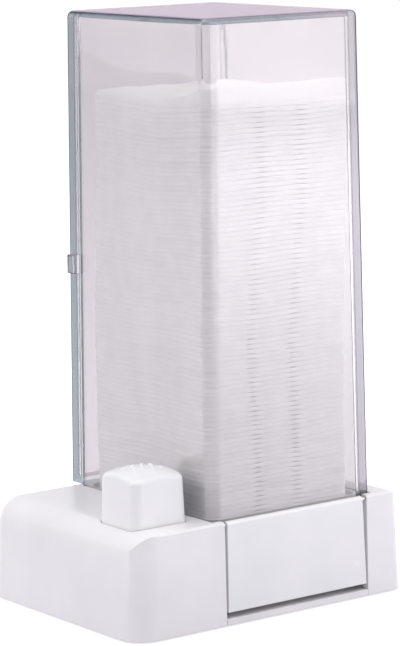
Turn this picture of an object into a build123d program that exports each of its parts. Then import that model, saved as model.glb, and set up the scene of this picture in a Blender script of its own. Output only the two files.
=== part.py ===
from build123d import *
import math
import os

# Cotton pad dispenser: a white press-button base with a clear tower of stacked pads on its right part.
# Millimetres, +Z up, front towards -Y, origin on the standing surface under the middle of the base.
# Pressing the button turns a small gear train that slides the lowest pad out of the front slit.

# Cutters and joins
over = 1.0  # how far a cutter reaches past what it cuts
join = 0.3  # how far a form reaches into the one it is joined to

# Pads
pad_width = 50.0
pad_depth = 60.0
pad_corner = 3.0
pad_pitch = 1.4
pad_thickness = 1.36
bottom_pad_thickness = 1.3
pad_floor_gap = 0.1
pad_stack_gap = 0.15
pad_stagger = 0.25
stagger_step_x = 2.4
stagger_step_y = 1.7
top_pad_thickness = 2.65
top_pad_sag = 1.7
top_pad_dish = 0.84
top_pad_edge = 0.8
stack_height = 145.5

# Clear tower
clear_wall = 2.0
gap_left_of_pads = 1.5
gap_right_of_pads = 2.8
gap_front_of_pads = 1.45
door_pan_depth = 5.65
tower_height = 141.5
tower_draft = 0.563
tower_corner = 2.2
inner_corner = 3.2
foot_depth = 5.0
foot_clearance = 0.15
seam_gap = 0.15
seam_behind_pads = 0.8
tower_top_edge = 2.0

# Rear door
door_floor_gap = 0.3
hinge_radius = 1.0
hinge_gap = 0.25
hinge_pin_radius = 0.5
hinge_bore_gap = 0.05
hinge_ear_length = 5.0
hinge_pin_length = 8.0
hinge_pin_end_gap = 0.6
hinge_ear_lift = 0.4
hinge_ear_from_top = 1.0
tab_reach = 2.2
tab_depth = 3.3
tab_height = 5.6
tab_middle = 66.8
tab_round = 0.7
catch_radius = 0.6
catch_gap = 0.08
catch_from_ends = 12.0

# Base
base_height = 30.0
foot_gap = 0.6
deck_left = 27.8
deck_right = 8.4
deck_front = 2.5
base_wall = 2.0
base_flare = 1.35
base_front_flare = 0.4
soft_corner = 8.0
rear_left_corner = 6.0
right_corner = 3.0
deck_edge = 0.6
pocket_rib = 2.0
pocket_rib_reach = 0.5
jamb_front_gap = 1.0
pocket_rear_gap = 0.02

# Floor plate
plate_thickness = 1.8
plate_gap = 0.15
slit_height = 1.75
boss_radius = 2.4
boss_height = 13.0
boss_from_left = 3.6
boss_from_right = 1.0
boss_from_front = 2.1
boss_from_rear = 2.7
screw_radius = 0.95
screw_gap = 0.06
screw_length = 8.0
screw_end_gap = 0.5
screw_pass = 0.2
screw_head_gap = 0.15
screw_head_recess = 0.1
screw_head_radius = 1.8
screw_head_height = 1.2
rubber_foot_radius = 4.0
rubber_foot_recess = 0.8
rubber_foot_inset = 10.5
rubber_foot_gap = 0.05
sill_depth = 4.0

# Pad guide
guide_wall = 2.0
guide_wall_gap = 0.15
collar_corner = 4.0
collar_wall = 0.6
blade_pass = 1.8
blade_sweep_gap = 0.8
front_rail_height = 4.0
guide_rear_wall = 1.5
guide_rear_inset = 0.3
guide_rear_gap = 0.05
guide_front_gap = 0.1
axle_seat_skin = 0.4

# Front flap
bay_gap = 0.95
bay_gap_right = 1.6
flap_flare = 1.3
bay_inset_left = 2.7
bay_inset_right = 3.45
flap_thickness = 2.1
flap_back_gap = 0.25
flap_rod_radius = 0.55
flap_rod_gap = 0.05
flap_rod_end = 1.6

# Button
button_width = 18.6
button_depth = 18.5
button_from_left = 14.5
button_from_front = 17.15
button_rise = 15.8
button_crown = 28.0
button_taper = 0.5
button_corner = 2.8
button_wall = 1.5
button_edge = 1.6
button_gap = 0.25
button_travel = 9.0
skirt_depth = 2.2
lip_depth = 0.8
lip_reach = 0.9
front_lip_width = 6.0
rear_lip_width = 4.0
button_hole_depth = 8.0
dot_radius = 0.8
dot_rise = 0.35
dot_pitch = 3.0
dot_row_share = 0.87
tongue_root = 8.0
tongue_thickness = 2.4

# Gears, one module for both racks and both wheels
module = 0.8
pressure_angle = 25.0
addendum = 0.8
dedendum = 1.0
backlash = 0.16
pinion_teeth = 10
wheel_teeth = 16
pinion_width = 4.0
hub_length = 4.0
wheel_width = 2.2
hub_radius = 2.2
axle_radius = 1.0
axle_gap = 0.05
axle_end_gap = 0.2
flank_points = 5

# Sled
sled_floor_gap = 0.1
arm_width = 2.4
guide_arm_width = 2.2
arm_side_gap = 0.4
wheel_side_gap = 0.2
rack_height = 5.2
rack_lead = 2.4
guide_arm_height = 3.0
guide_arm_length = 40.0
blade_length = 5.0
blade_thickness = 1.1
blade_pad_gap = 0.25
rivet_radius = 0.8
rivet_gap = 0.03
blade_seat_gap = 0.05
rivet_head_radius = 1.1
rivet_head_height = 0.5
end_travel = 3.0
rail_from_blade = 8.0
rail_from_gear = 8.0
rail_from_front = 12.0
rail_width = 1.2
rail_height = 2.0

# Bracket and spring
ear_thickness = 1.6
ear_margin = 2.6
bracket_foot = 2.0
bracket_foot_length = 10.0
bracket_wall = 0.8
bracket_side_gap = 0.3
bracket_screw_radius = 0.75
bracket_screw_head = 1.4
bracket_screw_head_height = 1.0
bracket_screw_grip = 1.2
bracket_screw_from_end = 1.9
spring_radius = 2.6
spring_wire = 0.7
spring_turns = 9
spring_seat_radius = 3.4
spring_seat_height = 5.6
spring_pin_radius = 1.7
spring_pin_length = 8.0
spring_top_pin = 3.5
spring_from_wall = 1.0
spring_length = 26.0

# Levels
floor_z = foot_gap + plate_thickness
slit_top = floor_z + slit_height
deck_z = foot_gap + base_height
foot_z = deck_z - foot_depth
tower_top = deck_z + tower_height
draft_inset = tower_height * math.tan(math.radians(tower_draft))

# Plan
tower_width = gap_left_of_pads + pad_width + gap_right_of_pads + 2 * clear_wall
tower_depth = gap_front_of_pads + pad_depth + door_pan_depth + 2 * clear_wall
base_width = deck_left + tower_width + deck_right
base_depth = deck_front + tower_depth
base_left = -base_width / 2
base_right = base_width / 2
base_front = -base_depth / 2
base_rear = base_depth / 2
tower_left = base_left + deck_left
tower_right = tower_left + tower_width
tower_front = base_front + deck_front
tower_rear = base_rear
pad_left = tower_left + clear_wall + gap_left_of_pads
pad_front = tower_front + clear_wall + gap_front_of_pads
pad_y = pad_front + pad_depth / 2
pad_rear = pad_front + pad_depth
seam_y = pad_rear + seam_behind_pads
bay_left = tower_left + bay_inset_left
bay_right = tower_right - bay_inset_right
pocket_left = tower_left - foot_clearance
pocket_right = tower_right + foot_clearance
pocket_front = tower_front - foot_clearance
pocket_rear = seam_y + pocket_rear_gap
guide_left = tower_left - foot_clearance
guide_right = tower_right

# Mechanism
button_x = base_left + button_from_left
button_y = base_front + button_from_front
button_back = button_y + button_depth / 2
button_top = deck_z + button_rise
rack_pitch = math.pi * module
pinion_radius = module * pinion_teeth / 2
wheel_radius = module * wheel_teeth / 2
tongue_face = button_back - tongue_thickness
gear_y = tongue_face - module * dedendum - pinion_radius
rack_line = floor_z + sled_floor_gap + rack_height
gear_z = rack_line + wheel_radius
push_travel = button_travel * wheel_radius / pinion_radius
arm_right = guide_left - arm_side_gap
arm_left = arm_right - arm_width
wheel_right = arm_right - wheel_side_gap / 2
wheel_left = wheel_right - wheel_width
pinion_right = wheel_left - hub_length
pinion_left = pinion_right - pinion_width
blade_front = pad_rear + blade_pad_gap
blade_back = blade_front + blade_length
blade_y = (blade_front + blade_back) / 2
sled_z = floor_z + sled_floor_gap
guide_arm_left = guide_right + arm_side_gap
guide_arm_right = guide_arm_left + guide_arm_width
rack_pitch_y = gear_y + pinion_radius
ear_right = pinion_left - bracket_side_gap
ear_left = ear_right - ear_thickness
spring_x = button_x - button_width / 2 + button_wall + spring_radius + spring_wire / 2 + spring_from_wall
flap_radius = flap_thickness / 2
flap_axis_y = pocket_front - flap_back_gap - flap_radius
flap_axis_z = deck_z - flap_radius - flap_rod_gap
stack_z = floor_z + pad_floor_gap + bottom_pad_thickness + pad_stack_gap
pads_in_stack = int((stack_height - top_pad_thickness) / pad_pitch)


def block(x0, x1, y0, y1, z0, z1):
    """A box between two corners."""
    return Pos((x0 + x1) / 2, (y0 + y1) / 2, (z0 + z1) / 2) * Box(x1 - x0, y1 - y0, z1 - z0)


def rod_x(radius, x0, x1, y, z):
    """A round bar along X."""
    return Pos((x0 + x1) / 2, y, z) * (Rot(0, 90, 0) * Cylinder(radius, x1 - x0))


def post(radius, x, y, z0, z1):
    """A round bar along Z."""
    return Pos(x, y, (z0 + z1) / 2) * Cylinder(radius, z1 - z0)


def plan(x0, x1, y0, y1, z, corner):
    """A flat rectangle with rounded corners at height z."""
    flat = RectangleRounded(x1 - x0, y1 - y0, corner)
    return Pos((x0 + x1) / 2, (y0 + y1) / 2, z) * flat


def slab(x0, x1, y0, y1, z0, z1, corner):
    """An upright prism with rounded corners."""
    return extrude(plan(x0, x1, y0, y1, z0, corner), z1 - z0)


def tapered(x0, x1, y0, y1, z0, z1, inset, corner):
    """A prism with rounded corners that narrows by inset on each side towards its top."""
    low = plan(x0, x1, y0, y1, z0, corner)
    high = plan(x0 + inset, x1 - inset, y0 + inset, y1 - inset, z1, corner)
    return loft([low.face(), high.face()], ruled=True)


def leaning_sides(plane, foot_half, top_half, top, length):
    """A bar with a trapezoid section, symmetric about the plane's normal."""
    corners = [(-foot_half, foot_gap), (foot_half, foot_gap), (top_half, top), (-top_half, top)]
    return extrude(plane * make_face(Polyline(*corners, close=True)), length, both=True)


def base_form(inset, top):
    """The outside of the base, moved inwards by inset, with its large soft corners on the left."""
    half_width = base_width / 2 - inset
    half_depth = base_depth / 2 - inset
    form = leaning_sides(Plane.XZ, half_width + base_flare, half_width, top, base_depth)
    form &= leaning_sides(Plane.YZ, half_depth + base_front_flare, half_depth, top, base_width)
    deck_left_edge = form.faces().sort_by(Axis.Z)[-1].edges().sort_by(Axis.X)[0]
    front_left = upright_edges(form).sort_by(lambda e: e.center().X + e.center().Y)[0]
    form = fillet([front_left, deck_left_edge], soft_corner - inset)
    rear_left = upright_edges(form).sort_by(lambda e: e.center().X - e.center().Y)[0]
    form = fillet([rear_left], rear_left_corner - inset)
    return fillet(upright_edges(form).sort_by(Axis.X)[-2:], right_corner - inset / 2)


def under_deck_edge():
    """Everything below a 45 degree roof that takes the sharp edge off the deck's front, right and rear."""
    edge = deck_edge
    eaves_z = deck_z - 2 * edge
    left = base_left - soft_corner
    low = plan(left, base_right + edge, base_front - edge, base_rear + edge, eaves_z, right_corner + edge)
    high = plan(left, base_right - edge, base_front + edge, base_rear - edge, deck_z, right_corner - edge)
    roof = loft([low.face(), high.face()], ruled=True)
    return roof + block(-base_width, base_width, -base_depth, base_depth, 0, eaves_z)


def upright_edges(form):
    return form.edges().filter_by(lambda e: abs(e.tangent_at(0.5).Z) > 0.9)


def gear_outline(teeth):
    """The closed outline of a spur wheel with involute flanks, one tooth on +X."""
    pitch_radius = module * teeth / 2
    slope = math.radians(pressure_angle)
    base_radius = pitch_radius * math.cos(slope)
    root = pitch_radius - module * dedendum
    tip = pitch_radius + module * addendum
    start = max(base_radius, root)
    half = math.pi / (2 * teeth) - backlash / 4 / pitch_radius
    lean = math.tan(slope) - slope
    points = []
    for tooth in range(teeth):
        middle = 2 * math.pi * tooth / teeth
        flank = []
        for step in range(flank_points):
            radius = start + (tip - start) * step / (flank_points - 1)
            roll = math.acos(min(1.0, base_radius / radius))
            flank.append((radius, half + lean - (math.tan(roll) - roll)))
        if root < start:
            flank.insert(0, (root, flank[0][1]))
        for radius, angle in flank:
            points.append((radius * math.cos(middle - angle), radius * math.sin(middle - angle)))
        for radius, angle in reversed(flank):
            points.append((radius * math.cos(middle + angle), radius * math.sin(middle + angle)))
    return make_face(Polyline(*points, close=True))


def wheel(teeth, x0, x1, turn):
    """A spur wheel about the X axis, with one tooth turned from +Y towards +Z by turn degrees."""
    flat = Rot(0, 0, turn) * gear_outline(teeth)
    solid = extrude(flat, x1 - x0)
    upright = Plane(origin=(x0, gear_y, gear_z), x_dir=(0, 1, 0), z_dir=(1, 0, 0))
    return upright * solid


def rack_teeth(first, last):
    """Outlines of rack teeth along +X with their tips towards +Y and a gap at the middle."""
    lean = math.tan(math.radians(pressure_angle))
    half = rack_pitch / 4 - backlash / 4
    tip = module * addendum
    root = -module * dedendum
    outlines = []
    for index in range(first, last):
        middle = (index + 0.5) * rack_pitch
        corners = [
            (middle - half + root * lean, root),
            (middle - half + tip * lean, tip),
            (middle + half - tip * lean, tip),
            (middle + half - root * lean, root),
        ]
        outlines.append(make_face(Polyline(*corners, close=True)))
    return outlines


def hinge_plane():
    """The leaning rear hinge line, at deck level, with local +Z up the tower's edge."""
    lean = math.tan(math.radians(tower_draft))
    return Plane(
        origin=(tower_right - hinge_radius, seam_y + seam_gap + hinge_radius, deck_z),
        x_dir=(1, 0, lean),
        z_dir=(-lean, -lean, 1),
    )


def tower_outside():
    return tapered(tower_left, tower_right, tower_front, tower_rear, deck_z, tower_top,
                   draft_inset, tower_corner)


def rounded_tower():
    """The closed outer form of the tower with its softened top edges."""
    form = tower_outside()
    return fillet(form.faces().sort_by(Axis.Z)[-1].edges(), tower_top_edge)


def tower_cavity(z0, z1):
    """The inside of the tower between two heights, one wall inside its outer form."""
    low = (z0 - deck_z) / tower_height * draft_inset
    high = (z1 - deck_z) / tower_height * draft_inset
    wall = clear_wall
    return tapered(tower_left + wall + low, tower_right - wall - low,
                   tower_front + wall + low, tower_rear - wall - low,
                   z0, z1, high - low, inner_corner)


def behind_seam(offset):
    """Everything behind the leaning seam, moved back by offset."""
    seam = Plane(origin=(0, seam_y + offset, deck_z), x_dir=(1, 0, 0),
                 z_dir=(0, -math.tan(math.radians(tower_draft)), 1))
    span = 2 * tower_height
    return seam * (Pos(0, span / 2, 0) * Box(span, span, 2 * span))


def hinge_ears():
    """Heights of the two hinge lugs along the hinge line, measured up from the deck."""
    low = door_floor_gap + hinge_ear_lift
    high = tower_height - clear_wall - hinge_ear_length - hinge_ear_from_top
    return [(low, 1), (high, -1)]


def make_tower_cover():
    wall = clear_wall
    cover = rounded_tower()
    cover += slab(tower_left, tower_right, tower_front, tower_rear, foot_z, deck_z, tower_corner)
    cover -= tower_cavity(deck_z, tower_top - wall)
    cover -= slab(tower_left + wall, tower_right - wall, tower_front + wall, tower_rear - wall,
                  foot_z, deck_z, inner_corner)
    cover -= behind_seam(0)
    cover -= block(tower_left - over, tower_right + over, seam_y - 2 * foot_clearance, base_rear + over,
                   foot_z - over, deck_z)
    hinge = hinge_plane()
    for start, _ in hinge_ears():
        middle = start + hinge_ear_length / 2
        lug = Pos(0, 0, middle) * Cylinder(hinge_radius, hinge_ear_length)
        reach = hinge_radius + seam_gap + join
        lug += Pos(0, -reach / 2, middle) * Box(2 * hinge_radius, reach, hinge_ear_length)
        lug -= Pos(0, 0, middle) * Cylinder(hinge_pin_radius, hinge_ear_length + over)
        cover += hinge * lug
    return cover - catches(catch_radius + catch_gap)


def catches(radius):
    """Balls on the seam of the left wall near its ends, which keep the door shut."""
    lean = math.tan(math.radians(tower_draft))
    middle = tower_left + clear_wall / 2
    return [Pos(middle + lean * rise, seam_y + seam_gap - lean * rise, deck_z + rise) * Sphere(radius)
            for rise in (catch_from_ends, tower_height - catch_from_ends)]


def make_rear_door():
    door = (rounded_tower() & behind_seam(seam_gap)) - tower_cavity(
        deck_z + door_floor_gap + clear_wall, tower_top - clear_wall)
    door -= block(-base_width, base_width, 0, base_depth, deck_z - over, deck_z + door_floor_gap)
    hinge = hinge_plane()
    height = 2 * (tower_height + over)
    outside = Pos(hinge_radius, -1.5 * hinge_radius, 0) * Box(4 * hinge_radius, 3 * hinge_radius, height)
    door -= hinge * (outside - Cylinder(hinge_radius, height))
    clear = math.sqrt(2) * hinge_radius + hinge_gap  # the lug's square corners pass as the door swings
    for start, side in hinge_ears():
        length = hinge_ear_length + 2 * hinge_gap
        middle = start + hinge_ear_length / 2
        gap = Pos(0, 0, middle) * Cylinder(clear, length)
        gap += Pos(over / 2, -clear / 2, middle) * Box(2 * clear + over, clear, length)
        door -= hinge * gap
        bore = Pos(0, 0, middle + side * hinge_pin_length / 2) * Cylinder(
            hinge_pin_radius + hinge_bore_gap, hinge_pin_length)
        door -= hinge * bore
    tab_y = seam_y + seam_gap
    tab_z = deck_z + tab_middle
    side = tower_left + draft_inset * tab_middle / tower_height
    tab = block(side - tab_reach, side + clear_wall / 2, tab_y, tab_y + tab_depth,
                tab_z - tab_height / 2, tab_z + tab_height / 2)
    tab = fillet(tab.edges().group_by(Axis.X)[0], tab_round)
    return door + tab + catches(catch_radius)


def make_hinge_pins():
    hinge = hinge_plane()
    pins = []
    for start, side in hinge_ears():
        middle = start + hinge_ear_length / 2
        inner = middle - side * (hinge_ear_length / 2 - hinge_pin_end_gap)
        outer = middle + side * (hinge_pin_length - hinge_pin_end_gap)
        pins.append(hinge * (Pos(0, 0, (inner + outer) / 2) * Cylinder(hinge_pin_radius, abs(outer - inner))))
    return pins


def make_base_housing():
    body = base_form(0, deck_z) & under_deck_edge()
    hollow = base_form(base_wall, deck_z - base_wall)
    rim = pocket_rib
    ribs = block(pocket_left - rim, pocket_right + rim, pocket_front - pocket_rib_reach, seam_y,
                 foot_z, deck_z)
    body -= hollow - ribs
    body -= block(pocket_left, pocket_right, pocket_front, pocket_rear, 0, deck_z + over)
    body -= block(bay_left, bay_right, base_front - base_front_flare - over, pocket_front + over,
                  0, deck_z + over)
    for x0, x1 in ((bay_left - base_wall, bay_left), (bay_right, bay_right + base_wall)):
        body += block(x0, x1, base_front + jamb_front_gap, pocket_front,
                      floor_z + plate_gap, deck_z - jamb_front_gap)
    body -= slab(button_x - button_width / 2 - button_gap, button_x + button_width / 2 + button_gap,
                 button_y - button_depth / 2 - button_gap, button_y + button_depth / 2 + button_gap,
                 deck_z - button_hole_depth, deck_z + over, button_corner + button_gap)
    for x, y, height in boss_places():
        body += post(boss_radius, x, y, floor_z, floor_z + height)
        body -= post(screw_radius + screw_gap, x, y, floor_z - over, floor_z + screw_length)
    seat = flap_rod_end + 2 * flap_rod_gap
    body -= rod_x(flap_rod_radius + flap_rod_gap, bay_left - seat, bay_right + seat, flap_axis_y, flap_axis_z)
    return body


def boss_places():
    """Where the four floor screws go, with the height of the column over each."""
    front = base_front + base_wall + boss_from_front
    rear = base_rear - base_wall - boss_from_rear
    left = base_left + base_wall + boss_from_left
    right = base_right - base_wall - boss_from_right
    tall = base_height - base_wall - plate_thickness
    return [
        (left, front, boss_height),
        (left, rear, tall),
        (right, front + boss_from_right, tall),
        (right, rear, tall),
    ]


def make_front_flap():
    left = bay_left + bay_gap
    right = bay_right - bay_gap_right
    back = flap_axis_y + flap_radius
    outline = Polyline((left, slit_top), (right + flap_flare, slit_top), (right, flap_axis_z),
                       (left, flap_axis_z), close=True)
    face = Plane(origin=(0, back, 0), x_dir=(1, 0, 0), z_dir=(0, -1, 0)) * make_face(outline)
    flap = extrude(face, flap_thickness, dir=(0, -1, 0))
    flap += rod_x(flap_radius, left, right, flap_axis_y, flap_axis_z)
    flap -= rod_x(flap_rod_radius + flap_rod_gap, left - over, right + over, flap_axis_y, flap_axis_z)
    return flap


def make_flap_rod():
    return rod_x(flap_rod_radius, bay_left - flap_rod_end, bay_right + flap_rod_end,
                 flap_axis_y, flap_axis_z)


def make_base_plate():
    outline = base_form(base_wall + plate_gap, deck_z)
    plate = outline & block(-base_width, base_width, -base_depth, base_depth, foot_gap, floor_z)
    plate += block(bay_left + plate_gap, bay_right - plate_gap, base_front - base_front_flare,
                   base_front + sill_depth, foot_gap, floor_z)
    for x, y, _ in boss_places():
        plate -= post(screw_radius + screw_pass, x, y, 0, floor_z + over)
        plate -= post(screw_head_radius + screw_head_gap, x, y, 0, foot_gap + screw_head_height)
    for x, y in rubber_foot_places():
        plate -= post(rubber_foot_radius, x, y, 0, foot_gap + rubber_foot_recess)
    rail_top = floor_z + rail_height
    left_rail = arm_left - arm_side_gap
    right_rail = guide_arm_right + arm_side_gap
    plate += block(left_rail - rail_width, left_rail, gear_y + rail_from_gear, blade_back - rail_from_blade,
                   floor_z, rail_top)
    plate += block(right_rail, right_rail + rail_width, base_front + rail_from_front,
                   blade_back - rail_from_blade, floor_z, rail_top)
    seat_top = floor_z + spring_seat_height
    plate += post(spring_seat_radius, spring_x, button_y, floor_z, seat_top)
    plate += post(spring_pin_radius, spring_x, button_y, seat_top, seat_top + spring_pin_length)
    for x, y in bracket_screw_places():
        plate -= post(bracket_screw_radius + screw_gap, x, y, floor_z - bracket_screw_grip, floor_z + over)
    return plate


def rubber_foot_places():
    inset = rubber_foot_inset
    return [(x, y) for x in (base_left + inset, base_right - inset)
            for y in (base_front + inset, base_rear - inset)]


def make_rubber_feet():
    return [post(rubber_foot_radius - rubber_foot_gap, x, y, 0, foot_gap + rubber_foot_recess)
            for x, y in rubber_foot_places()]


def make_base_screws():
    neck = foot_gap + screw_head_height
    screws = []
    for x, y, _ in boss_places():
        head = post(screw_head_radius, x, y, foot_gap + screw_head_recess, neck)
        screws.append(head + post(screw_radius, x, y, neck - join, floor_z + screw_length - screw_end_gap))
    return screws


def make_stack_guide():
    """The frame that holds the pads inside the base, with a thin collar up inside the tower's foot."""
    left = guide_left
    right = guide_right
    rear = seam_y + guide_rear_wall
    front = tower_front + guide_front_gap
    inner_rear = seam_y - guide_rear_inset
    guide = block(left, right, front, rear, floor_z, foot_z)
    guide -= block(left + guide_wall, right - guide_wall, base_front - over, inner_rear, 0, deck_z)
    sweep_front = blade_front - push_travel - blade_sweep_gap
    guide -= block(base_left, base_right, sweep_front, base_rear, 0, floor_z + blade_pass)
    inside = clear_wall + guide_wall_gap
    guide += block(left, right, front, tower_front + inside + collar_wall,
                   foot_z - front_rail_height, foot_z)
    collar = slab(tower_left + inside, tower_right - inside, tower_front + inside, rear + inner_corner,
                  foot_z - join, deck_z - pocket_rear_gap, inner_corner - guide_wall_gap)
    collar -= block(base_left, base_right, rear, base_rear + inner_corner, foot_z - over, deck_z + over)
    collar -= block(tower_left, tower_right, seam_y - guide_rear_gap, rear + over,
                    deck_z - base_wall - guide_rear_gap, deck_z + over)
    lip = inside + collar_wall
    opening = slab(tower_left + lip, tower_right - lip, tower_front + lip, inner_rear,
                   foot_z - front_rail_height - over, deck_z + over, collar_corner)
    guide = guide + collar - opening
    axle_seat = left + guide_wall - axle_seat_skin
    guide -= rod_x(axle_radius + axle_gap, left - over, axle_seat, gear_y, gear_z)
    return guide


def make_push_button():
    """The cap with its guide lips, spring pin and the toothed tongue that drives the small gear."""
    x0 = button_x - button_width / 2
    x1 = button_x + button_width / 2
    y0 = button_y - button_depth / 2
    y1 = button_y + button_depth / 2
    skirt_z = deck_z - skirt_depth
    cap = tapered(x0, x1, y0, y1, deck_z, button_top + over, button_taper, button_corner)
    cap &= Pos(button_x, button_y, button_top - button_crown) * Sphere(button_crown)
    cap = fillet(cap.faces().sort_by(Axis.Z)[-1].edges(), button_edge)
    cap += slab(x0, x1, y0, y1, skirt_z, deck_z, button_corner)
    wall = button_wall
    ceiling = button_top - button_width ** 2 / 8 / button_crown - wall
    cap -= tapered(x0 + wall, x1 - wall, y0 + wall, y1 - wall, skirt_z - over, ceiling,
                   button_taper, button_corner - wall / 2)
    half = front_lip_width / 2
    rear_lip = x0 + button_corner
    cap += block(button_x - half, button_x + half, y0 - lip_reach, y0 + wall, skirt_z - lip_depth, skirt_z)
    cap += block(rear_lip, rear_lip + rear_lip_width, y1 - wall, y1 + lip_reach, skirt_z - lip_depth, skirt_z)
    seat_z = floor_z + spring_seat_height + spring_length
    cap += post(spring_seat_radius - button_gap, spring_x, button_y, seat_z, ceiling + join)
    cap += post(spring_pin_radius, spring_x, button_y, seat_z - spring_top_pin, seat_z)
    return cap + toothed_tongue(skirt_z) + grip_dots()


def toothed_tongue(skirt_z):
    """The tongue that hangs from the button's rear wall, with rack teeth on its front."""
    low = gear_z - rack_pitch
    tongue = block(pinion_left, pinion_right, tongue_face, button_back, low, skirt_z + over)
    tongue += block(pinion_left, pinion_right, tongue_face, button_back - join,
                    skirt_z, skirt_z + tongue_root)
    side = Plane(origin=(pinion_left, rack_pitch_y, gear_z), x_dir=(0, 0, 1), z_dir=(1, 0, 0))
    for outline in rack_teeth(-1, math.ceil((button_travel + end_travel) / rack_pitch)):
        tongue += side * extrude(outline, pinion_width)
    return tongue


def grip_dots():
    """Small domes that stand a little proud of the button's crown."""
    dots = []
    for x, y in dot_places():
        away = math.hypot(x - button_x, y - button_y)
        crown = button_top - button_crown + math.sqrt(button_crown ** 2 - away ** 2)
        dots.append(Pos(x, y, crown + dot_rise - dot_radius) * Sphere(dot_radius))
    return dots


def dot_places():
    """Raised grip dots in three staggered rows."""
    places = []
    for row in (-1, 0, 1):
        count = 3 + row % 2
        for index in range(count):
            x = button_x + (index - (count - 1) / 2) * dot_pitch
            places.append((x, button_y + row * dot_pitch * dot_row_share))
    return places


def make_button_spring():
    low = floor_z + spring_seat_height + spring_wire / 2
    high = low + spring_length - spring_wire
    pitch = (high - low) / spring_turns
    path = Helix(pitch, high - low, spring_radius)
    start = Plane(origin=path @ 0, z_dir=path % 0)
    coil = sweep(start * Circle(spring_wire / 2), path)
    return Pos(spring_x, button_y, low) * coil


def make_compound_gear():
    gear = wheel(pinion_teeth, pinion_left, pinion_right, 0)
    gear += rod_x(hub_radius, pinion_right - join, wheel_left + join, gear_y, gear_z)
    gear += wheel(wheel_teeth, wheel_left, wheel_right, 0)
    gear -= rod_x(axle_radius + axle_gap, pinion_left - over, wheel_right + over, gear_y, gear_z)
    return gear


def make_gear_axle():
    seat = guide_left + guide_wall - axle_seat_skin - axle_end_gap
    return rod_x(axle_radius, ear_left - bracket_side_gap, seat, gear_y, gear_z)


def make_gear_bracket():
    half = hub_radius + bracket_wall
    bracket = block(ear_left, ear_right, gear_y - half, gear_y + half, floor_z, gear_z)
    bracket += rod_x(half, ear_left, ear_right, gear_y, gear_z)
    back = gear_y + ear_margin
    bracket += block(ear_left, pinion_right + over, back - bracket_foot_length, back,
                     floor_z, floor_z + bracket_foot)
    bracket -= rod_x(axle_radius + axle_gap, ear_left - over, ear_right + over, gear_y, gear_z)
    for x, y in bracket_screw_places():
        bracket -= post(bracket_screw_radius + screw_gap, x, y, 0, gear_z)
    return bracket


def bracket_screw_places():
    y = gear_y + ear_margin - bracket_foot_length + bracket_screw_from_end
    return [(ear_right + bracket_screw_head, y), (pinion_right - bracket_wall, y)]


def make_bracket_screws():
    top = floor_z + bracket_foot
    low = floor_z - bracket_screw_grip + screw_gap
    return [post(bracket_screw_radius, x, y, low, top + join)
            + post(bracket_screw_head, x, y, top, top + bracket_screw_head_height)
            for x, y in bracket_screw_places()]


def make_rack_arm():
    """The left arm of the sled, with rack teeth that the large gear drives."""
    top = rack_line - module * dedendum
    arm = block(arm_left, arm_right, gear_y - rack_lead, blade_back, sled_z, top)
    side = Plane(origin=(arm_left, gear_y, rack_line), x_dir=(0, 1, 0), z_dir=(1, 0, 0))
    for outline in rack_teeth(-1, math.ceil((push_travel + end_travel) / rack_pitch)):
        arm += side * extrude(outline, arm_width)
    return blade_seat(arm, arm_left, arm_right)


def make_guide_arm():
    arm = block(guide_arm_left, guide_arm_right, blade_back - guide_arm_length, blade_back,
                sled_z, sled_z + guide_arm_height)
    return blade_seat(arm, guide_arm_left, guide_arm_right)


def blade_seat(arm, x0, x1):
    """An arm with the step that its end of the blade lies in, and its rivet hole."""
    arm -= block(x0 - over, x1 + over, blade_front - blade_seat_gap, blade_back + over,
                 0, sled_z + blade_thickness)
    return arm - post(rivet_radius + rivet_gap, (x0 + x1) / 2, blade_y, 0, deck_z)


def make_pusher_blade():
    blade = block(arm_left, guide_arm_right, blade_front, blade_back, sled_z, sled_z + blade_thickness)
    for x in rivet_places():
        blade -= post(rivet_radius + rivet_gap, x, blade_y, 0, deck_z)
    return blade


def rivet_places():
    return [(arm_left + arm_right) / 2, (guide_arm_left + guide_arm_right) / 2]


def make_blade_rivets():
    tops = [rack_line - module * dedendum, sled_z + guide_arm_height]
    low = sled_z + rivet_gap
    return [post(rivet_radius, x, blade_y, low, top)
            + post(rivet_head_radius, x, blade_y, top, top + rivet_head_height)
            for x, top in zip(rivet_places(), tops)]


def make_bottom_pad():
    z = floor_z + pad_floor_gap
    return slab(pad_left, pad_left + pad_width, pad_front, pad_rear,
                z, z + bottom_pad_thickness, pad_corner)


def make_pad_stack():
    """The pads under the top one, each a little out of line with the next."""
    pads = []
    for index in range(pads_in_stack):
        shift_x = pad_stagger * math.sin(index * stagger_step_x)
        shift_y = pad_stagger * math.sin(index * stagger_step_y)
        z = stack_z + index * pad_pitch
        pads.append(slab(pad_left + shift_x, pad_left + pad_width + shift_x, pad_front + shift_y,
                         pad_rear + shift_y, z, z + pad_thickness, pad_corner))
    return pads


def make_top_pad():
    """The pillowy pad on top: high along its edges and dished in its middle."""
    z = stack_z + pads_in_stack * pad_pitch
    pad = slab(pad_left, pad_left + pad_width, pad_front, pad_rear,
               z, z + top_pad_thickness, pad_corner)
    pad = fillet(pad.faces().sort_by(Axis.Z)[-1].edges(), top_pad_edge)
    reach = pad_depth * top_pad_dish / 2
    dish_radius = (reach ** 2 + top_pad_sag ** 2) / (2 * top_pad_sag)
    dish_z = z + top_pad_thickness + dish_radius - top_pad_sag
    return pad - rod_x(dish_radius, pad_left - over, pad_left + pad_width + over, pad_y, dish_z)


def write(name, shape):
    if isinstance(shape, list):
        shape = Compound(children=shape)
    export_step(shape, f"parts/{name}.step")


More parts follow.
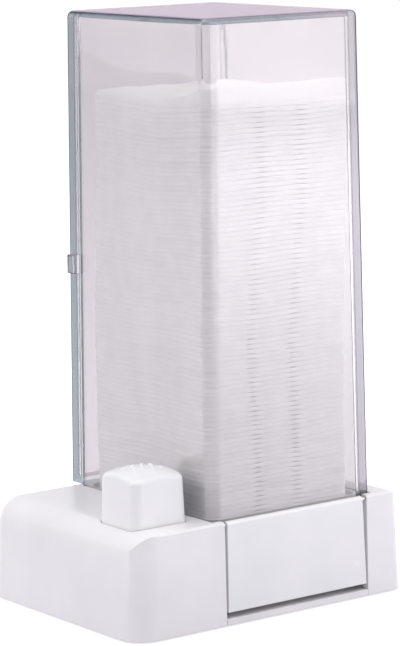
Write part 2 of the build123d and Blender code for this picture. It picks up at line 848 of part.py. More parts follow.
os.makedirs("parts", exist_ok=True)
write("base_housing", make_base_housing())
write("base_plate", make_base_plate())
write("rubber_feet", make_rubber_feet())
write("base_screws", make_base_screws())
write("stack_guide", make_stack_guide())
write("tower_cover", make_tower_cover())
write("rear_door", make_rear_door())
write("door_hinge_pins", make_hinge_pins())
write("front_flap", make_front_flap())
write("flap_hinge_rod", make_flap_rod())
write("push_button", make_push_button())
write("button_spring", make_button_spring())
write("compound_gear", make_compound_gear())
write("gear_axle", make_gear_axle())
write("gear_bracket", make_gear_bracket())
write("bracket_screws", make_bracket_screws())
write("rack_arm", make_rack_arm())
write("guide_arm", make_guide_arm())
write("pusher_blade", make_pusher_blade())
write("blade_rivets", make_blade_rivets())
write("bottom_pad", make_bottom_pad())
write("pad_stack", make_pad_stack())
write("top_pad", make_top_pad())
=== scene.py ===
import bpy
import bmesh
import math
from mathutils import Matrix, Vector


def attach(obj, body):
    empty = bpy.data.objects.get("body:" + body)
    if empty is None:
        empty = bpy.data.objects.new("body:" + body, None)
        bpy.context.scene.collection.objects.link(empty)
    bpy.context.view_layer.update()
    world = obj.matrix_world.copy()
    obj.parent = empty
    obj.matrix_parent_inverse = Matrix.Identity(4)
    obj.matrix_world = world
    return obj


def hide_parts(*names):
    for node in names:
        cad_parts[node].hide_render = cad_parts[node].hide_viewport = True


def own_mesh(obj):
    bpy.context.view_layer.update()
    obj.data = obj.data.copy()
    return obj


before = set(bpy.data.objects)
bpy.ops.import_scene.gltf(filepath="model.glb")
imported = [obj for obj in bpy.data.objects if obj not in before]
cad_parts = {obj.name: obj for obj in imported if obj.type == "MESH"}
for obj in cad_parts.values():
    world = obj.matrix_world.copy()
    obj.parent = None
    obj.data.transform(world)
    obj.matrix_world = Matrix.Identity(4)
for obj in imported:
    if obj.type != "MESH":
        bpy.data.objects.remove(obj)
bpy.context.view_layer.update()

# Cotton pad dispenser: white press-button base, clear tower of stacked pads on its right part.
# Metres, +Z up, front towards -Y, origin on the floor under the middle of the base.

mm = 0.001


def hexColour(code):
    # an sRGB hex value, turned linear
    channels = [int(code[i:i + 2], 16) / 255 for i in (1, 3, 5)]
    linear = [c / 12.92 if c <= 0.04045 else ((c + 0.055) / 1.055) ** 2.4 for c in channels]
    return (*linear, 1.0)


def addNode(tree, kind, settings=None, links=None):
    # a setting is a colour ramp's tones, a socket's value or a property of the node
    node = tree.nodes.new(kind)
    for name, value in (settings or {}).items():
        if name == "tones":
            for element, (position, code) in zip(node.color_ramp.elements, value):
                element.position = position
                element.color = hexColour(code)
        elif isinstance(name, int) or name in node.inputs:
            node.inputs[name].default_value = value
        else:
            setattr(node, name, value)
    # a link comes from an output, or from the first output of a node
    for name, source in (links or {}).items():
        output = source.outputs[0] if isinstance(source, bpy.types.Node) else source
        tree.links.new(output, node.inputs[name])
    return node


def newMaterial(name):
    # an empty material, its node tree and the object coordinates that its patterns read
    material = bpy.data.materials.new(name)
    material.use_nodes = True
    tree = material.node_tree
    tree.nodes.clear()
    return material, tree, addNode(tree, "ShaderNodeTexCoord").outputs["Object"]


def placedObject(name, mesh):
    data = bpy.data.meshes.new(name)
    mesh.to_mesh(data)
    mesh.free()
    piece = bpy.data.objects.new(name, data)
    bpy.context.scene.collection.objects.link(piece)
    return piece


def smoothCopy(nodeName, pieceName, body, slotName, material, sharpDegrees):
    mesh = bmesh.new()  # the CAD mesh is loose triangles, so the copy is merged before it is shaded
    mesh.from_mesh(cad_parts[nodeName].data)
    bmesh.ops.remove_doubles(mesh, verts=mesh.verts, dist=0.002 * mm)
    for face in mesh.faces:
        face.smooth = True
        face.material_index = 0
    for edge in mesh.edges:
        edge.smooth = len(edge.link_faces) == 2 and edge.calc_face_angle(0) < math.radians(sharpDegrees)
    piece = placedObject(pieceName, mesh)
    even = piece.modifiers.new("evenShading", "WEIGHTED_NORMAL")
    even.keep_sharp = True
    even.weight = 80
    piece.data.materials.clear()
    piece.data.materials.append(material)
    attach(piece, body)
    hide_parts(nodeName)
    return piece


# the camera stands where the photograph was taken
cameraValues = {
    "eye": (-494.432 * mm, -671.866 * mm, 219.135 * mm),
    "back": (-0.58718, -0.79286, 0.16309),  # away from what it looks at
    "roll": math.radians(1.0725),
    "lens": 160.96,
    "sensor": 36.0,
    "clipStart": 0.01,
}


def makeCamera(values):
    back = Vector(values["back"]).normalized()
    right = (-back).cross(Vector((0, 0, 1))).normalized()
    up = right.cross(-back)
    roll = values["roll"]
    across = math.cos(roll) * right - math.sin(roll) * up
    upright = math.sin(roll) * right + math.cos(roll) * up
    data = bpy.data.cameras.new("camera")
    data.sensor_fit = "VERTICAL"
    data.sensor_height = values["sensor"]
    data.lens = values["lens"]
    data.clip_start = values["clipStart"]
    camera = bpy.data.objects.new("camera", data)
    camera.matrix_world = Matrix((across, upright, back)).transposed().to_4x4()
    camera.location = values["eye"]
    bpy.context.scene.collection.objects.link(camera)
    bpy.context.scene.camera = camera


makeCamera(cameraValues)
print("camera placed")

whiteAbsValues = {
    "tones": ((0.35, "#E6E4E8"), (0.62, "#EEECEF")),
    "cloud": 35 * mm,
    "roughLeast": 0.26,
    "roughMost": 0.36,
    "peel": 0.7 * mm,
    "peelStrength": 0.05,
    "peelDepth": 0.1 * mm,
    "edge": 0.25 * mm,
    "ior": 1.53,
}
# the flap and button: the same ABS, a little smoother, with a lighter tone that is painted light for the
# extra light on the flap's face
flapAbsValues = {
    "tones": ((0.35, "#E9E9EC"), (0.62, "#EFEFF1")),
    "cloud": 25 * mm,
    "roughLeast": 0.22,
    "roughMost": 0.30,
    "peel": 0.7 * mm,
    "peelStrength": 0.05,
    "peelDepth": 0.1 * mm,
    "edge": 0.3 * mm,
    "ior": 1.53,
}


def mouldedAbs(name, values):
    # moulded ABS: glossy, with the faint orange peel of a polished steel mould
    material, tree, place = newMaterial(name)
    cloud = addNode(tree, "ShaderNodeTexNoise", {"Scale": 1 / values["cloud"], "Detail": 3.0},
                    {"Vector": place})
    peel = addNode(tree, "ShaderNodeTexNoise", {"Scale": 1 / values["peel"], "Detail": 2.0},
                   {"Vector": place})
    tone = addNode(tree, "ShaderNodeValToRGB", {"tones": values["tones"]}, {"Fac": cloud})
    rough = addNode(tree, "ShaderNodeMapRange",
                    {"To Min": values["roughLeast"], "To Max": values["roughMost"]}, {"Value": cloud})
    rounded = addNode(tree, "ShaderNodeBevel", {"samples": 6, "Radius": values["edge"]})
    bump = addNode(tree, "ShaderNodeBump",
                   {"Strength": values["peelStrength"], "Distance": values["peelDepth"]},
                   {"Height": peel, "Normal": rounded})
    shader = addNode(tree, "ShaderNodeBsdfPrincipled", {"IOR": values["ior"]},
                     {"Base Color": tone, "Roughness": rough, "Normal": bump})
    addNode(tree, "ShaderNodeOutputMaterial", {}, {"Surface": shader})
    return material


clearSanValues = {
    "tones": ((0.35, "#E1DCDF"), (0.6, "#E3DFE1")),
    "ior": 1.57,
    "clear": 0.96,
    "roughLeast": 0.02,
    "roughMost": 0.06,
    "flow": 30 * mm,
    "flowStretch": (1.0, 1.0, 0.25),  # longer up the wall
    "flowStrength": 0.03,
    "flowDepth": 0.1 * mm,
    "shadow": "#FEFDFE",
    "absorb": "#9DB6C4",
    "density": 12.0,
    # painted light in place of light caught in a wall: a painted cast, grey-blue at the left and mauve at
    # the right, and the places between which it turns
    "paintedCastLeft": "#97A4AC",
    "paintedCastRight": "#BCB8C1",
    "paintedCastTurn": (5 * mm, 30 * mm),
    # from and full: how far from straight on a face is seen, 0 to 1; most: the largest share
    "paintedCastFrom": 0.25,
    "paintedCastFull": 0.55,
    "paintedCastMost": 0.88,
    # painted shade on rounded edges towards their outline, and a painted sheen on level faces seen at a
    # low angle
    "rim": "#56626D",
    "rimFrom": 0.42,
    "paintedRimFull": 0.62,
    "paintedRimMost": 0.90,
    "paintedSheen": "#AE92AE",
    "paintedSheenMost": 0.5,
    # a face is rounded when no part of its normal is near 1, and level when the upright part is
    "roundFrom": 0.999,
    "roundFull": 0.97,
    "levelFrom": 0.80,
    "levelFull": 0.97,
}


def paintRimShade(tree, values, clear, facing):
    # painted shade darkens a rounded edge towards its outline, and a level face seen at a low angle gets a
    # painted sheen
    normal = addNode(tree, "ShaderNodeTexCoord").outputs["Normal"]
    turned = addNode(tree, "ShaderNodeVectorMath", {"operation": "ABSOLUTE"}, {0: normal})
    parts = addNode(tree, "ShaderNodeSeparateXYZ", {}, {"Vector": turned}).outputs
    across = addNode(tree, "ShaderNodeMath", {"operation": "MAXIMUM"}, {0: parts["X"], 1: parts["Y"]})
    largest = addNode(tree, "ShaderNodeMath", {"operation": "MAXIMUM"}, {0: across, 1: parts["Z"]})
    rounded = addNode(tree, "ShaderNodeMapRange",
                      {"From Min": values["roundFrom"], "From Max": values["roundFull"],
                       "To Max": values["paintedRimMost"]},
                      {"Value": largest})
    level = addNode(tree, "ShaderNodeMapRange",
                    {"From Min": values["levelFrom"], "From Max": values["levelFull"]},
                    {"Value": parts["Z"]})
    most = addNode(tree, "ShaderNodeMix", {"data_type": "FLOAT", 3: values["paintedSheenMost"]},
                   {0: level, 2: rounded})
    share = addNode(tree, "ShaderNodeMapRange",
                    {"interpolation_type": "SMOOTHSTEP", "From Min": values["rimFrom"],
                     "From Max": values["paintedRimFull"]},
                    {"Value": facing, "To Max": most})
    # painted shade: a dark grey-blue tint at the outline of a rounded edge
    dark = addNode(tree, "ShaderNodeBsdfTransparent", {"Color": hexColour(values["rim"])})
    paintedSheen = addNode(tree, "ShaderNodeBsdfDiffuse", {"Color": hexColour(values["paintedSheen"])})
    rim = addNode(tree, "ShaderNodeMixShader", {}, {0: level, 1: dark, 2: paintedSheen})
    return addNode(tree, "ShaderNodeMixShader", {}, {0: share, 1: clear, 2: rim})


def paintCaughtLight(tree, values, clear, facing, place):
    # painted light: a wall seen at an angle takes a painted cast that turns from grey-blue at the left to
    # mauve at the right, in place of light caught inside the wall
    share = addNode(tree, "ShaderNodeMapRange",
                    {"interpolation_type": "SMOOTHSTEP", "From Min": values["paintedCastFrom"],
                     "From Max": values["paintedCastFull"], "To Max": values["paintedCastMost"]},
                    {"Value": facing})
    turnFrom, turnTo = values["paintedCastTurn"]
    parts = addNode(tree, "ShaderNodeSeparateXYZ", {}, {"Vector": place}).outputs
    turn = addNode(tree, "ShaderNodeMapRange", {"From Min": turnFrom, "From Max": turnTo},
                   {"Value": parts["X"]})
    cast = addNode(tree, "ShaderNodeMix",
                   {"data_type": "RGBA", 6: hexColour(values["paintedCastLeft"]),
                    7: hexColour(values["paintedCastRight"])},
                   {0: turn})
    paintedCast = addNode(tree, "ShaderNodeBsdfTransparent", {}, {"Color": cast.outputs[2]})
    return addNode(tree, "ShaderNodeMixShader", {}, {0: share, 1: clear, 2: paintedCast})


def mouldedSan(name, values):
    # moulded SAN: clear and glossy, with a faint mauve cast across a wall and a blue one along it
    material, tree, place = newMaterial(name)
    stretched = addNode(tree, "ShaderNodeMapping", {"Scale": values["flowStretch"]}, {"Vector": place})
    flow = addNode(tree, "ShaderNodeTexNoise", {"Scale": 1 / values["flow"], "Detail": 2.0},
                   {"Vector": stretched})
    tone = addNode(tree, "ShaderNodeValToRGB", {"tones": values["tones"]}, {"Fac": flow})
    rough = addNode(tree, "ShaderNodeMapRange",
                    {"To Min": values["roughLeast"], "To Max": values["roughMost"]}, {"Value": flow})
    bump = addNode(tree, "ShaderNodeBump",
                   {"Strength": values["flowStrength"], "Distance": values["flowDepth"]}, {"Height": flow})
    clear = addNode(tree, "ShaderNodeBsdfPrincipled",
                    {"IOR": values["ior"], "Transmission Weight": values["clear"]},
                    {"Base Color": tone, "Roughness": rough, "Normal": bump})
    facing = addNode(tree, "ShaderNodeLayerWeight", {"Blend": 0.5}).outputs["Facing"]
    # rounded edges get painted shade, and level faces a painted sheen
    outer = paintRimShade(tree, values, clear, facing)
    # walls seen at an angle take a painted cast, grey-blue at the left and mauve at the right
    inner = paintCaughtLight(tree, values, clear, facing, place)
    fromInside = addNode(tree, "ShaderNodeNewGeometry").outputs["Backfacing"]
    wall = addNode(tree, "ShaderNodeMixShader", {}, {0: fromInside, 1: outer, 2: inner})
    # shadow rays go straight through, so the pads behind the plastic are lit
    shadowRay = addNode(tree, "ShaderNodeLightPath").outputs["Is Shadow Ray"]
    through = addNode(tree, "ShaderNodeBsdfTransparent", {"Color": hexColour(values["shadow"])})
    surface = addNode(tree, "ShaderNodeMixShader", {}, {0: shadowRay, 1: wall, 2: through})
    tint = addNode(tree, "ShaderNodeVolumeAbsorption",
                   {"Color": hexColour(values["absorb"]), "Density": values["density"]})
    addNode(tree, "ShaderNodeOutputMaterial", {}, {"Surface": surface, "Volume": tint})
    return material


cottonValues = {
    "tones": ((0.5, "#F5F6F4"), (0.8, "#FBFCFA")),
    "fibre": 0.35 * mm,  # a real fibre is far finer, and would not show
    "fibreLie": (0.45, 0.45, 1.3),  # long in the plane of the pad, short across it
    "fibreShare": 0.35,
    "fibreStrength": 0.5,
    "fibreDepth": 0.25 * mm,
    "tuft": 5 * mm,
    "roughness": 0.95,
    "sheen": 0.15,
    "specular": 0.15,
}


def pressedCotton(name, values):
    # pressed cotton wool: matt, soft-edged, with short fibres lying mostly in the plane of the pad
    material, tree, place = newMaterial(name)
    flat = addNode(tree, "ShaderNodeMapping", {"Scale": values["fibreLie"]}, {"Vector": place})
    fibre = addNode(tree, "ShaderNodeTexNoise",
                    {"Scale": 1 / values["fibre"], "Detail": 4.0, "Roughness": 0.7, "Distortion": 0.6},
                    {"Vector": flat})
    tuft = addNode(tree, "ShaderNodeTexNoise", {"Scale": 1 / values["tuft"], "Detail": 4.0},
                   {"Vector": place})
    both = addNode(tree, "ShaderNodeMath", {"operation": "MULTIPLY_ADD", 1: values["fibreShare"]},
                   {0: fibre, 2: tuft})
    tone = addNode(tree, "ShaderNodeValToRGB", {"tones": values["tones"]}, {"Fac": both})
    bump = addNode(tree, "ShaderNodeBump",
                   {"Strength": values["fibreStrength"], "Distance": values["fibreDepth"]},
                   {"Height": fibre})
    shader = addNode(tree, "ShaderNodeBsdfPrincipled",
                     {"Roughness": values["roughness"], "Sheen Weight": values["sheen"],
                      "Sheen Roughness": 0.5, "Specular IOR Level": values["specular"]},
                     {"Base Color": tone, "Normal": bump})
    addNode(tree, "ShaderNodeOutputMaterial", {}, {"Surface": shader})
    return material


whitePomValues = {
    "tones": ((0.35, "#E0DED6"), (0.65, "#EDECE6")),
    "cloud": 11 * mm,
    "roughness": 0.42,
    "grain": 0.5 * mm,
    "grainStrength": 0.2,
    "grainDepth": 0.05 * mm,
    "ior": 1.48,
}
bluePomValues = {
    "tones": ((0.35, "#9AACBE"), (0.65, "#A9BACB")),
    "cloud": 11 * mm,
    "roughness": 0.40,
    "grain": 0.5 * mm,
    "grainStrength": 0.2,
    "grainDepth": 0.05 * mm,
    "ior": 1.48,
}
rubberValues = {
    "tones": ((0.35, "#2B2B2E"), (0.65, "#3A3A3D")),
    "cloud": 11 * mm,
    "roughness": 0.85,
    "grain": 0.35 * mm,
    "grainStrength": 0.2,
    "grainDepth": 0.05 * mm,
    "ior": 1.48,
}


def mouldedMatt(name, values):
    # moulded acetal or rubber: satin to matt, finely grained by the mould
    material, tree, place = newMaterial(name)
    grain = addNode(tree, "ShaderNodeTexNoise", {"Scale": 1 / values["grain"], "Detail": 3.0},
                    {"Vector": place})
    cloud = addNode(tree, "ShaderNodeTexNoise", {"Scale": 1 / values["cloud"], "Detail": 3.0},
                    {"Vector": place})
    tone = addNode(tree, "ShaderNodeValToRGB", {"tones": values["tones"]}, {"Fac": cloud})
    bump = addNode(tree, "ShaderNodeBump",
                   {"Strength": values["grainStrength"], "Distance": values["grainDepth"]},
                   {"Height": grain})
    shader = addNode(tree, "ShaderNodeBsdfPrincipled",
                     {"Roughness": values["roughness"], "IOR": values["ior"]},
                     {"Base Color": tone, "Normal": bump})
    addNode(tree, "ShaderNodeOutputMaterial", {}, {"Surface": shader})
    return material


steelValues = {
    "tones": ((0.3, "#B4B6B9"), (0.7, "#C9CACC")),
    "roughLeast": 0.24,
    "roughMost": 0.38,
    "scratch": 0.25 * mm,  # the real lines are finer, and would not show
    "scratchLie": (0.02, 1, 1),  # drawn out from left to right
    "scratchStrength": 0.15,
    "scratchDepth": 0.02 * mm,
}
springValues = {
    "tones": ((0.3, "#A5A8AC"), (0.7, "#BFC1C4")),
    "roughLeast": 0.20,
    "roughMost": 0.34,
    "scratch": 0.2 * mm,
    "scratchLie": (1, 1, 0.2),  # drawn out upwards
    "scratchStrength": 0.15,
    "scratchDepth": 0.02 * mm,
    "travel": 9 * mm,  # how far the button goes down
}


def drawnSteel(name, values):
    # drawn or rolled steel: bright, with fine lines along the way it was drawn
    material, tree, place = newMaterial(name)
    drawn = addNode(tree, "ShaderNodeMapping", {"Scale": values["scratchLie"]}, {"Vector": place})
    line = addNode(tree, "ShaderNodeTexNoise", {"Scale": 1 / values["scratch"], "Detail": 4.0},
                   {"Vector": drawn})
    tone = addNode(tree, "ShaderNodeValToRGB", {"tones": values["tones"]}, {"Fac": line})
    rough = addNode(tree, "ShaderNodeMapRange",
                    {"To Min": values["roughLeast"], "To Max": values["roughMost"]}, {"Value": line})
    bump = addNode(tree, "ShaderNodeBump",
                   {"Strength": values["scratchStrength"], "Distance": values["scratchDepth"]},
                   {"Height": line})
    shader = addNode(tree, "ShaderNodeBsdfPrincipled", {"Metallic": 1.0},
                     {"Base Color": tone, "Roughness": rough, "Normal": bump})
    addNode(tree, "ShaderNodeOutputMaterial", {}, {"Surface": shader})
    return material


whiteAbs = mouldedAbs("whiteAbs", whiteAbsValues)
flapAbs = mouldedAbs("flapAbs", flapAbsValues)
clearSan = mouldedSan("clearSan", clearSanValues)
cotton = pressedCotton("pressedCotton", cottonValues)
whitePom = mouldedMatt("whiteAcetal", whitePomValues)
bluePom = mouldedMatt("blueAcetal", bluePomValues)
rubber = mouldedMatt("footRubber", rubberValues)
steel = drawnSteel("brightSteel", steelValues)
springSteel = drawnSteel("springSteel", springValues)
print("materials made")

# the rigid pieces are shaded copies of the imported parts: node, piece, body, slot, material, sharp angle
rigidPieces = [
    ("base_housing", "baseShell", "base", "white_abs", whiteAbs, 30),
    ("base_plate", "floorPlate", "base", "white_abs", whiteAbs, 30),
    ("stack_guide", "guideFrame", "base", "white_abs", whiteAbs, 30),
    ("front_flap", "frontFlap", "flap", "white_abs_flap", flapAbs, 30),
    ("push_button", "pressButton", "button", "white_abs_flap", flapAbs, 35),
    ("tower_cover", "towerCover", "base", "clear_san", clearSan, 35),
    ("rear_door", "rearDoor", "door", "clear_san", clearSan, 35),
    ("door_hinge_pins", "hingePins", "base", "steel", steel, 40),
    ("flap_hinge_rod", "flapRod", "base", "steel", steel, 40),
    ("rubber_feet", "rubberFeet", "base", "rubber", rubber, 40),
    ("base_screws", "baseScrews", "base", "steel", steel, 40),
    ("compound_gear", "stepGear", "gear", "pom_blue", bluePom, 30),
    ("gear_axle", "gearAxle", "base", "steel", steel, 40),
    ("gear_bracket", "gearBracket", "base", "pom_white", whitePom, 30),
    ("bracket_screws", "bracketScrews", "base", "steel", steel, 40),
    ("rack_arm", "rackArm", "sled", "pom_white", whitePom, 30),
    ("guide_arm", "guideArm", "sled", "pom_white", whitePom, 30),
    ("pusher_blade", "pusherBlade", "sled", "steel", steel, 40),
    ("blade_rivets", "bladeRivets", "sled", "steel", steel, 40),
]
for row in rigidPieces:
    smoothCopy(*row)
spring = smoothCopy("button_spring", "returnSpring", "button", "spring_steel", springSteel, 40)
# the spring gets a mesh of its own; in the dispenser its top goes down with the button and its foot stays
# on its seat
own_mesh(spring)
print("rigid pieces dressed")

padValues = {
    "count": 102,
    "left": -15.95 * mm,
    "front": -30.85 * mm,
    "width": 50 * mm,
    "depth": 60 * mm,
    "corner": 3 * mm,
    "thickness": 1.39 * mm,
    "pitch": 1.4 * mm,
    "lowest": 3.95 * mm,
    "edge": 0.08 * mm,
    "bottomThickness": 1.3 * mm,
    "bottomLowest": 2.5 * mm,
    "topThickness": 3.75 * mm,
    "topSunk": 1.1 * mm,
    "topEdge": 1.6 * mm,
    # cuts that give the bends their vertices, besides those at the pressed lines
    "leftCuts": (-14 * mm, -9 * mm),
    "rightCuts": (7 * mm, 16 * mm),
    "rowCuts": 5.2 * mm,
    # how the stack leans, in millimetres: height and shift to the right, highest first
    "lean": ((150, 1.2), (125, 1.1), (100, 0.1), (78, -0.65), (45, -0.65), (31, -0.3), (12, -0.1), (0, 0)),
    "back": 0.2 * mm,
    # small strays from pad to pad: two swings each, in millimetres and in radians a pad
    "strayX": ((0.08, 2.4), (0.08, 0.31)),
    "strayY": ((0.08, 1.7), (0.06, 0.43)),
    # pads are shorter above the lowest ones and narrower below a height, both over the fade
    "shorter": 3.5 * mm,
    "narrower": 0.5 * mm,
    "narrowBelow": 110 * mm,
    "fade": 20 * mm,
    # the two pressed lines, in millimetres: height and the place of each across, highest first
    "lines": ((120, 2.3, 17.0), (100, -0.6, 14.6), (78, -2.6, 12.4), (48, -0.5, 13.7), (4, 0.5, 14.5)),
    "lineWidth": 2.6 * mm,
    "lineSpread": 0.65,  # share of the width at which the dent has mostly faded
    "lineReach": 3.5 * mm,  # how far a line that drifts takes its surroundings along
    # share of its thickness that a pad loses at a line: at the foot, how much less at a height, and how
    # much that varies from pad to pad
    "pressed": 0.23,
    "pressedLess": 0.11,
    "pressedHeight": 150 * mm,
    "pressedStray": (0.04, 2.1),
    "sag": 1.5 * mm,
    "sagLevel": 0.35,  # share of the sag by which the ends rise
    "curl": 1.6 * mm,  # how far the top pad's front edge rises, at the next value above its middle
    "curlDepth": 1 * mm,
    # slow waves of a whole pad, and finer ones at its rim: size and radians a metre
    "waveAlong": (0.35 * mm, 150),
    "waveAcross": (0.15 * mm, 170),
    "drift": 0.06,  # radians a pad by which the slow waves move up the stack
    "driftAcross": 1.7,
    "rimAlong": (0.06 * mm, 310),
    "rimAcross": (0.04 * mm, 260),
    "rimFrom": 0.4,  # share of the pad's size where the rim starts
}


def bell(distance, width):
    return math.exp(-(distance / width) ** 2)


def stray(index, swings):
    (sizeA, turnA), (sizeB, turnB) = swings
    return (sizeA * math.sin(index * turnA) + sizeB * math.sin(index * turnB)) * mm


def alongStack(rows, height):
    # values read off rows of (height, value, ...), highest first, all in millimetres, eased between rows
    z = height / mm
    if z >= rows[0][0]:
        return [value * mm for value in rows[0][1:]]
    for high, low in zip(rows, rows[1:]):
        if z >= low[0]:
            part = (z - low[0]) / (high[0] - low[0])
            part = part * part * (3 - 2 * part)
            return [(b + part * (a - b)) * mm for a, b in zip(high[1:], low[1:])]
    return [value * mm for value in rows[-1][1:]]


def allParts(mesh):
    return mesh.verts[:] + mesh.edges[:] + mesh.faces[:]


def flatPad(mesh, values, thickness, edge, edgeSteps):
    # a rounded rectangle, soft at its edges, with extra cuts where the pressed lines and waves need them
    made = bmesh.ops.create_cube(mesh, size=1.0)
    bmesh.ops.scale(mesh, vec=(values["width"], values["depth"], thickness), verts=made["verts"])
    uprights = [e for e in mesh.edges if abs(e.verts[0].co.z - e.verts[1].co.z) > thickness / 2]
    bmesh.ops.bevel(mesh, geom=uprights, offset=values["corner"], offset_type="OFFSET", segments=6,
                    profile=0.5, affect="EDGES", material=-1)
    rim = [e for e in mesh.edges if sum(abs(f.normal.z) > 0.9 for f in e.link_faces) == 1]
    bmesh.ops.bevel(mesh, geom=rim, offset=edge, offset_type="OFFSET", segments=edgeSteps,
                    profile=0.5, affect="EDGES", material=-1)
    middle = values["left"] + values["width"] / 2
    lineCuts = [at - middle + step * values["lineWidth"] / 2
                for at in alongStack(values["lines"], 0.0) for step in range(-2, 3)]
    cuts = [((x, 0, 0), (1, 0, 0)) for x in (*values["leftCuts"], *lineCuts, *values["rightCuts"])]
    cuts += [((0, step * values["rowCuts"], 0), (0, 1, 0)) for step in range(-4, 5)]
    for place, normal in cuts:
        bmesh.ops.bisect_plane(mesh, geom=allParts(mesh), dist=0.001 * mm, plane_co=place, plane_no=normal)
    for face in mesh.faces:
        face.smooth = True


def stackTop(values):
    return values["lowest"] + values["count"] * values["pitch"]


def sagAt(values, y, height):
    # how far a pad sinks between its ends; the lower ones lie flat
    share = max(0.0, min(1.0, height / stackTop(values))) ** 2
    along = 1 - (2 * y / values["depth"]) ** 2
    return values["sag"] * share * (along - values["sagLevel"])


def bendPad(verts, values, height, index, curl=0.0):
    # a flat pad takes its place in the stack, with its lean, sag, waves and pressed lines
    middleX = values["left"] + values["width"] / 2
    middleY = values["front"] + values["depth"] / 2
    shiftX = stray(index, values["strayX"])
    shiftY = stray(index, values["strayY"]) + values["back"]
    lean, = alongStack(values["lean"], height)
    risen = min(1.0, height / values["fade"])
    shorter = values["shorter"] * risen
    low = max(0.0, min(1.0, (values["narrowBelow"] - height) / values["fade"]))
    nowA, nowB = alongStack(values["lines"], height)
    restA, restB = alongStack(values["lines"], 0.0)
    lineSpread = values["lineWidth"] * values["lineSpread"]
    straySize, strayTurn = values["pressedStray"]
    pressed = values["pressed"] - values["pressedLess"] * height / values["pressedHeight"]
    pressed += straySize * math.sin(index * strayTurn)
    drift = index * values["drift"]
    alongSize, alongTurn = values["waveAlong"]
    acrossSize, acrossTurn = values["waveAcross"]
    rimSizeY, rimTurnY = values["rimAlong"]
    rimSizeX, rimTurnX = values["rimAcross"]
    for vert in verts:
        x, y, z = vert.co
        fromA = x + middleX - restA
        fromB = x + middleX - restB
        nearA = bell(fromA, values["lineReach"])
        nearB = bell(fromB, values["lineReach"])
        z *= 1 - pressed * max(bell(fromA, lineSpread), bell(fromB, lineSpread))
        x -= values["narrower"] * low * (x / values["width"] + 0.5)
        x += (nowA - lean - restA) * nearA + (nowB - lean - restB) * nearB
        y -= shorter * (y + values["depth"] / 2) / values["depth"]
        z -= sagAt(values, y, height)
        z += curl * max(0.0, -2 * y / values["depth"]) ** 2 * max(0.0, vert.co.z / values["curlDepth"])
        z += alongSize * math.sin(y * alongTurn + drift) * risen
        z += acrossSize * math.sin(x * acrossTurn + drift * values["driftAcross"]) * risen
        wave = rimSizeY * math.sin(y * rimTurnY + index) + rimSizeX * math.sin(x * rimTurnX + 2 * index)
        x += lean + shiftX + wave * (1 if abs(x) > values["width"] * values["rimFrom"] else 0)
        y += shiftY + wave * (1 if abs(y) > values["depth"] * values["rimFrom"] else 0)
        vert.co = (x + middleX, y + middleY, z + height)


def dressPad(mesh, pieceName, body, nodeName):
    pad = placedObject(pieceName, mesh)
    pad.data.materials.append(cotton)
    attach(pad, body)
    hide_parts(nodeName)


def makePadStack(values):
    mesh = bmesh.new()
    flatPad(mesh, values, values["thickness"], values["edge"], edgeSteps=2)
    first = allParts(mesh)
    pads = [mesh.verts[:]]
    for _ in range(values["count"] - 1):
        copied = bmesh.ops.duplicate(mesh, geom=first)["geom"]
        pads.append([part for part in copied if isinstance(part, bmesh.types.BMVert)])
    for index, verts in enumerate(pads):
        bendPad(verts, values, values["lowest"] + index * values["pitch"] + values["thickness"] / 2, index)
    dressPad(mesh, "padStack", "base", "pad_stack")


def makeTopPad(values):
    mesh = bmesh.new()
    flatPad(mesh, values, values["topThickness"], values["topEdge"], edgeSteps=5)
    height = stackTop(values) + values["topThickness"] / 2 - values["topSunk"]
    bendPad(mesh.verts[:], values, height, values["count"], values["curl"])
    dressPad(mesh, "topPad", "base", "top_pad")


def makeBottomPad(values):
    mesh = bmesh.new()
    flatPad(mesh, values, values["bottomThickness"], values["edge"], edgeSteps=2)
    bmesh.ops.translate(mesh, verts=mesh.verts, vec=(
        values["left"] + values["width"] / 2, values["front"] + values["depth"] / 2,
        values["bottomLowest"] + values["bottomThickness"] / 2))
    dressPad(mesh, "bottomPad", "pad", "bottom_pad")


makePadStack(padValues)
makeTopPad(padValues)
makeBottomPad(padValues)
print("pads made")


def seenRays(tree):
    # 1 for a ray that shows the background: direct, reflected or through the clear plastic
    path = addNode(tree, "ShaderNodeLightPath").outputs
    direct = addNode(tree, "ShaderNodeMath", {"operation": "MAXIMUM"},
                     {0: path["Is Camera Ray"], 1: path["Is Glossy Ray"]})
    return addNode(tree, "ShaderNodeMath", {"operation": "MAXIMUM"},
                   {0: direct, 1: path["Is Transmission Ray"]})


floorValues = {
    "colour": "#D2CFD6",
    "lift": 0.675,  # makes it as pale as the background, for the rays that show it
    "half": 4.0,
    "grain": 2.5 * mm,
    "grainStrength": 0.05,
    "grainDepth": 0.1 * mm,
}


def makeFloor(values):
    mesh = bmesh.new()
    bmesh.ops.create_grid(mesh, x_segments=8, y_segments=8, size=values["half"])
    floor = placedObject("floor", mesh)
    # painted board: matt and pale, with the fine texture that a roller leaves
    material, tree, place = newMaterial("paintedFloor")
    grain = addNode(tree, "ShaderNodeTexNoise", {"Scale": 1 / values["grain"], "Detail": 3.0},
                    {"Vector": place})
    bump = addNode(tree, "ShaderNodeBump",
                   {"Strength": values["grainStrength"], "Distance": values["grainDepth"]},
                   {"Height": grain})
    matt = addNode(tree, "ShaderNodeBsdfDiffuse", {"Color": hexColour(values["colour"])}, {"Normal": bump})
    glow = addNode(tree, "ShaderNodeEmission", {"Color": (1, 1, 1, 1), "Strength": values["lift"]})
    dark = addNode(tree, "ShaderNodeEmission", {"Color": (0, 0, 0, 1), "Strength": 0.0})
    lifted = addNode(tree, "ShaderNodeMixShader", {}, {0: seenRays(tree), 1: dark, 2: glow})
    both = addNode(tree, "ShaderNodeAddShader", {}, {0: matt, 1: lifted})
    addNode(tree, "ShaderNodeOutputMaterial", {}, {"Surface": both})
    floor.data.materials.append(material)


worldValues = {"light": "#F6F5F7", "strength": 0.60}


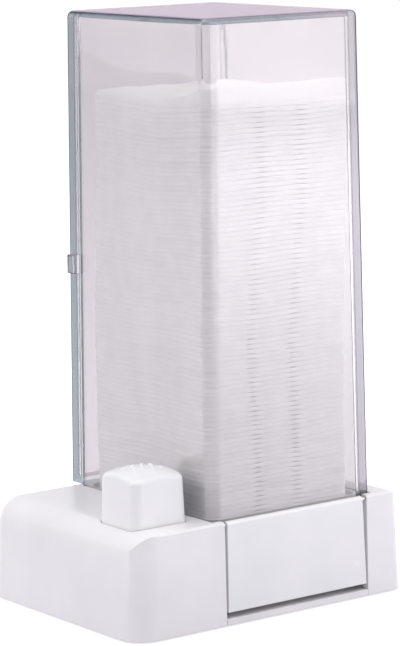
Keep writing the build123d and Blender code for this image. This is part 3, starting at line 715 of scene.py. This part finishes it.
def makeWorld(values):
    world = bpy.data.worlds.new("studio")
    bpy.context.scene.world = world
    world.use_nodes = True
    tree = world.node_tree
    tree.nodes.clear()
    soft = addNode(tree, "ShaderNodeBackground",
                   {"Color": hexColour(values["light"]), "Strength": values["strength"]})
    plain = addNode(tree, "ShaderNodeBackground", {"Color": (1, 1, 1, 1), "Strength": 1.0})
    mixed = addNode(tree, "ShaderNodeMixShader", {}, {0: seenRays(tree), 1: soft, 2: plain})
    addNode(tree, "ShaderNodeOutputWorld", {}, {"Surface": mixed})


lampValues = {
    "overhead": {"at": (-0.1, -0.1, 1.3), "to": (0, 0, 0.05), "size": 1.2, "power": 8.0},
    "side": {"at": (0.8, -1.0, 0.8), "to": (0, 0, 0.08), "size": 0.8, "power": 3.8},
    "left": {"at": (-1.0, 0.35, 0.6), "to": (0, 0, 0.08), "size": 0.6, "power": 3.6},
    "card": {"at": (1.2, -1.63, 0.12), "to": (0, 0, 0.12), "size": 0.42, "power": 1.7},
}
poolValues = {
    "at": (0.735, -0.99, 1.5),
    "to": (0.735, -0.99, 0),
    "cone": math.radians(80),
    "size": 0.1,
    "power": 450.0,
}


def placeLamp(name, data, values):
    lamp = bpy.data.objects.new(name, data)
    aim = Vector(values["to"]) - Vector(values["at"])
    lamp.location = values["at"]
    lamp.rotation_euler = aim.to_track_quat("-Z", "Y").to_euler()
    bpy.context.scene.collection.objects.link(lamp)


def makeLamps(lamps):
    for name, values in lamps.items():
        data = bpy.data.lights.new(name, "AREA")
        data.size = values["size"]
        data.energy = values["power"]
        placeLamp(name, data, values)


def makePool(values):
    # a soft pool of light on the floor at the front right, which the tower's clear front reflects
    data = bpy.data.lights.new("pool", "SPOT")
    data.energy = values["power"]
    data.spot_size = values["cone"]
    data.spot_blend = 1.0
    data.shadow_soft_size = values["size"]
    placeLamp("pool", data, values)


makeFloor(floorValues)
makeWorld(worldValues)
makeLamps(lampValues)
makePool(poolValues)
bpy.context.scene.view_settings.view_transform = "Standard"
print("floor and light made")
